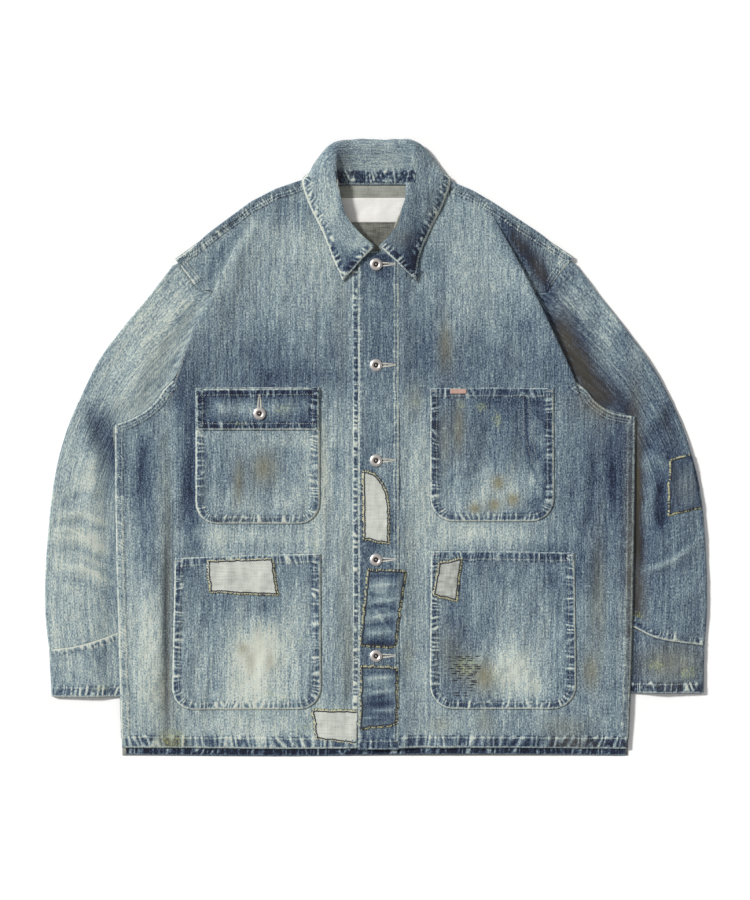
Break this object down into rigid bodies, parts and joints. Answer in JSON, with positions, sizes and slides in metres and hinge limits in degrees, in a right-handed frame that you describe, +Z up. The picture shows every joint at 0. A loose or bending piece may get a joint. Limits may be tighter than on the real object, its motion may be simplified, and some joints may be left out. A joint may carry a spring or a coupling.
{
  "type": "patched boro jacket",
  "caption": "Washed and mended denim work jacket, buttoned and laid flat, with turned-down collar, four patch pockets, long sleeves and sewn-on mending patches.",
  "frame": {"origin": "centre of the jacket's outline, on the surface that it lies on", "axes": "+X to the wearer's left, +Y towards the collar, +Z up from the surface, out of the jacket's front"},
  "size_m": [0.8615, 0.8024, 0.0201],
  "materials": {
    "denim": "washed and faded indigo twill",
    "light_patch": "pale grey woven patch cloth",
    "dark_patch": "darker denim patch cloth",
    "tab": "folded ribbon",
    "label": "satin ribbon",
    "button_metal": "worn plated metal"
  },
  "bodies": {
    "root": {"back": "denim", "right_front": "denim", "left_front": "denim", "right_sleeve": "denim", "left_sleeve": "denim", "right_cuff": "denim", "left_cuff": "denim", "collar": "denim", "front_band": "denim", "right_chest_pocket": "denim", "left_chest_pocket": "denim", "right_lower_pocket": "denim", "left_lower_pocket": "denim", "right_chest_flap": "denim", "band_light_patch": "light_patch", "band_upper_patch": "dark_patch", "band_lower_patch": "dark_patch", "lower_pocket_patch": "light_patch", "hem_patch": "light_patch", "small_patch": "light_patch", "elbow_patch": "dark_patch", "pocket_tab": "tab", "neck_label": "label", "front_button_1": "button_metal", "front_button_2": "button_metal", "front_button_3": "button_metal", "front_button_4": "button_metal", "front_button_5": "button_metal", "flap_button": "button_metal"}
  },
  "joints": []
}
